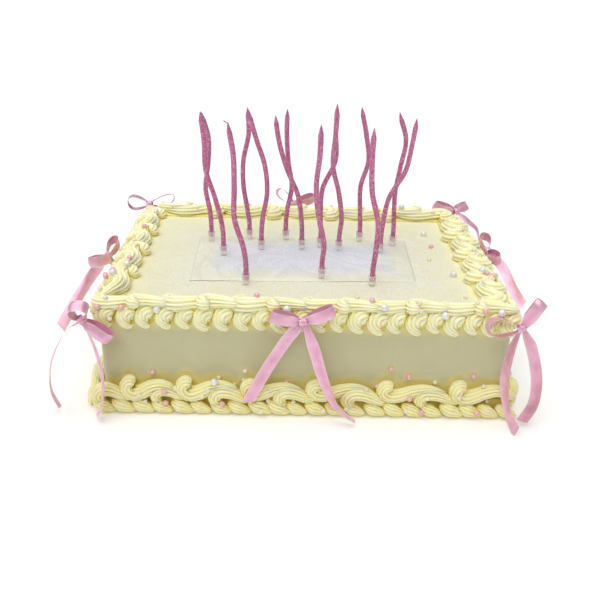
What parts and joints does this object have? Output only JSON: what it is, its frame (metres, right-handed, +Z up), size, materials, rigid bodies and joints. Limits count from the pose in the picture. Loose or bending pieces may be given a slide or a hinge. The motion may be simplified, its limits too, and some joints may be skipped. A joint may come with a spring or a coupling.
{
  "type": "cake",
  "caption": "Uncut frosted sheet cake with piped buttercream borders, sugar pearls, satin bows, a wafer sheet and tall wavy candles in clear cups.",
  "frame": {"origin": "middle of the frosted block's base, on the surface that the cake stands on", "axes": "+X to the right along the long side as seen from the front, +Y towards the back, +Z up"},
  "size_m": [0.4387, 0.3238, 0.2407],
  "materials": {
    "buttercream": "pale yellow buttercream, smooth and softly glossy",
    "wafer": "thin white wafer with fine glitter",
    "satin_ribbon": "pink satin",
    "glitter_wax": "rose wax with fine glitter",
    "clear_plastic": "clear, faintly pink",
    "sugar_pearl_pink": "pearlescent pink sugar",
    "sugar_pearl_cream": "pearlescent cream sugar",
    "sugar_pearl_white": "pearlescent white sugar"
  },
  "bodies": {
    "root": {"cake": "buttercream", "base_border_front": "buttercream", "base_border_back": "buttercream", "base_border_left": "buttercream", "base_border_right": "buttercream", "top_border_front": "buttercream", "top_border_back": "buttercream", "top_border_left": "buttercream", "top_border_right": "buttercream", "wafer_sheet": "wafer", "candle_a": "glitter_wax", "candle_b": "glitter_wax", "candle_c": "glitter_wax", "candle_d": "glitter_wax", "candle_e": "glitter_wax", "candle_f": "glitter_wax", "candle_g": "glitter_wax", "candle_h": "glitter_wax", "candle_i": "glitter_wax", "candle_j": "glitter_wax", "candle_k": "glitter_wax", "candle_l": "glitter_wax", "candle_m": "glitter_wax", "candle_n": "glitter_wax", "candle_cup_a": "clear_plastic", "candle_cup_b": "clear_plastic", "candle_cup_c": "clear_plastic", "candle_cup_d": "clear_plastic", "candle_cup_e": "clear_plastic", "candle_cup_f": "clear_plastic", "candle_cup_g": "clear_plastic", "candle_cup_h": "clear_plastic", "candle_cup_i": "clear_plastic", "candle_cup_j": "clear_plastic", "candle_cup_k": "clear_plastic", "candle_cup_l": "clear_plastic", "candle_cup_m": "clear_plastic", "candle_cup_n": "clear_plastic", "bow_front": "satin_ribbon", "bow_front_left": "satin_ribbon", "bow_front_right": "satin_ribbon", "bow_right": "satin_ribbon", "bow_left": "satin_ribbon", "bow_back_left": "satin_ribbon", "bow_back_right": "satin_ribbon", "bow_back": "satin_ribbon"}
  },
  "joints": []
}
